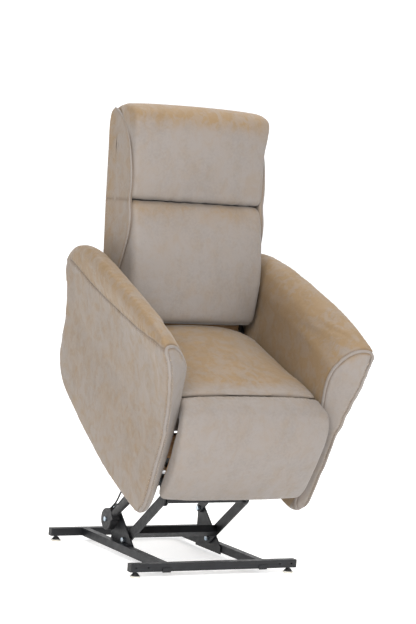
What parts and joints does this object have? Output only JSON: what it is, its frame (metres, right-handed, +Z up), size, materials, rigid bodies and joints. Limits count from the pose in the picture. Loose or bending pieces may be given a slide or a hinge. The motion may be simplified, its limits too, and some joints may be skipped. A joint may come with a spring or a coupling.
{
  "type": "lift recliner chair",
  "caption": "Upholstered recliner on a steel lift base that raises and tips the whole seat forward, with a reclining back and a fold-up leg rest.",
  "frame": {"origin": "on the floor under the middle of the raised chair's outline", "axes": "+Z up, -Y the side a person sits down from, +X the sitter's left-hand side seen from the front as the right"},
  "size_m": [0.7614, 0.9302, 1.5587],
  "materials": {
    "powder_coat": "satin black powder coat on steel",
    "zinc": "bright zinc plate",
    "rod_steel": "ground and polished steel",
    "black_plastic": "fine textured black moulding",
    "glide": "pale smooth glide",
    "upholstery": "distressed taupe coated fabric with a nubuck look, over foam and a timber frame",
    "timber": "raw plywood",
    "spring_wire": "dark drawn spring wire",
    "webbing": "woven elastic webbing",
    "lead": "black jacket"
  },
  "bodies": {
    "base": {"front_bar": "powder_coat", "rear_bar": "powder_coat", "base_side_rails": "powder_coat", "bar_end_caps": "black_plastic", "foot_glides": "glide", "foot_cups": "black_plastic", "rail_clips": "powder_coat", "riser_brackets": "powder_coat", "link_pivot_bolts": "zinc", "motor_pin": "zinc"},
    "lift_frame": {"lift_links": "powder_coat", "torque_tube": "powder_coat", "lift_tube": "powder_coat"},
    "rear_link_pair": {"rear_links": "powder_coat"},
    "lift_actuator": {"lift_gear_case": "black_plastic", "lift_actuator_tube": "black_plastic", "lift_motor_lead": "lead"},
    "lift_rod": {"lift_push_rod": "rod_steel"},
    "carriage": {"carriage_plates": "powder_coat", "rear_link_pins": "zinc", "front_cross_tube": "powder_coat", "rear_cross_tube": "powder_coat", "rod_clevis": "powder_coat", "seat_side_rails": "timber", "seat_rail_front": "timber", "seat_rail_rear": "timber", "spring_rail": "timber", "seat_springs": "spring_wire", "seat_cushion": "upholstery", "arm_left": "upholstery", "arm_right": "upholstery", "arm_spacers": "zinc", "rear_skirt": "upholstery", "back_hinge_plates": "powder_coat", "legrest_hinge_arms": "powder_coat", "legrest_gearbox": "black_plastic", "legrest_motor": "black_plastic", "legrest_tube": "black_plastic", "back_gearbox": "black_plastic", "back_motor": "black_plastic", "back_tube": "black_plastic", "actuator_saddles": "powder_coat", "control_box": "black_plastic"},
    "legrest": {"legrest_pad": "upholstery", "legrest_board": "timber", "legrest_lugs": "powder_coat", "legrest_pins": "zinc", "legrest_lever": "powder_coat"},
    "legrest_drive": {"legrest_rod": "rod_steel"},
    "back": {"back_stiles": "timber", "back_cross_rails": "timber", "back_webbing": "webbing", "back_shell": "upholstery", "back_side_panels": "upholstery", "lumbar_cushion": "upholstery", "head_cushion": "upholstery", "back_hinge_lugs": "powder_coat", "back_hinge_pins": "zinc", "back_lever": "powder_coat"},
    "back_drive": {"back_rod": "rod_steel"}
  },
  "joints": [
    {"name": "lift", "type": "hinge", "parent": "base", "child": "lift_frame", "pos_m": [0, 0.1404, 0.0558], "axis": [1, 0, 0], "range_deg": [0, 36.62]},
    {"name": "carriage_tilt", "type": "hinge", "parent": "lift_frame", "child": "carriage", "pos_m": [0, -0.097, 0.235], "axis": [1, 0, 0], "range_deg": [-62.7, 0.1]},
    {"name": "rear_link_swing", "type": "hinge", "parent": "base", "child": "rear_link_pair", "pos_m": [0, 0.2174, 0.1476], "axis": [1, 0, 0], "range_deg": [-0.1, 36.3]},
    {"name": "lift_actuator_swing", "type": "hinge", "parent": "base", "child": "lift_actuator", "pos_m": [0, 0.213, 0.115], "axis": [1, 0, 0], "range_deg": [-0.1, 24.3]},
    {"name": "lift_rod_slide", "type": "slide", "parent": "lift_actuator", "child": "lift_rod", "axis": [0, -0.8355, 0.5495], "range_m": [-0.0535, 0.0002]},
    {"name": "back_recline", "type": "hinge", "parent": "carriage", "child": "back", "pos_m": [0, 0.19582, 0.76775], "axis": [-1, 0, 0], "range_deg": [0, 45]},
    {"name": "back_rod_slide", "type": "slide", "parent": "carriage", "child": "back_drive", "axis": [0, -0.8988, -0.4384], "range_m": [-0.0002, 0.083]},
    {"name": "legrest_raise", "type": "hinge", "parent": "carriage", "child": "legrest", "pos_m": [0, -0.39247, 0.5231], "axis": [-1, 0, 0], "range_deg": [0, 85]},
    {"name": "legrest_rod_slide", "type": "slide", "parent": "carriage", "child": "legrest_drive", "axis": [0, -0.8988, -0.4384], "range_m": [-0.0003, 0.2147]}
  ],
  "couplings": [
    {"joint": "carriage_tilt", "follows": "lift", "ratio": -1.7099},
    {"joint": "rear_link_swing", "follows": "lift", "ratio": 0.98667},
    {"joint": "lift_actuator_swing", "follows": "lift", "ratio": 0.65912},
    {"joint": "lift_rod_slide", "follows": "lift", "m_per_rad": -0.08306},
    {"joint": "back_rod_slide", "follows": "back_recline", "m_per_rad": 0.10525},
    {"joint": "legrest_rod_slide", "follows": "legrest_raise", "m_per_rad": 0.14448}
  ]
}
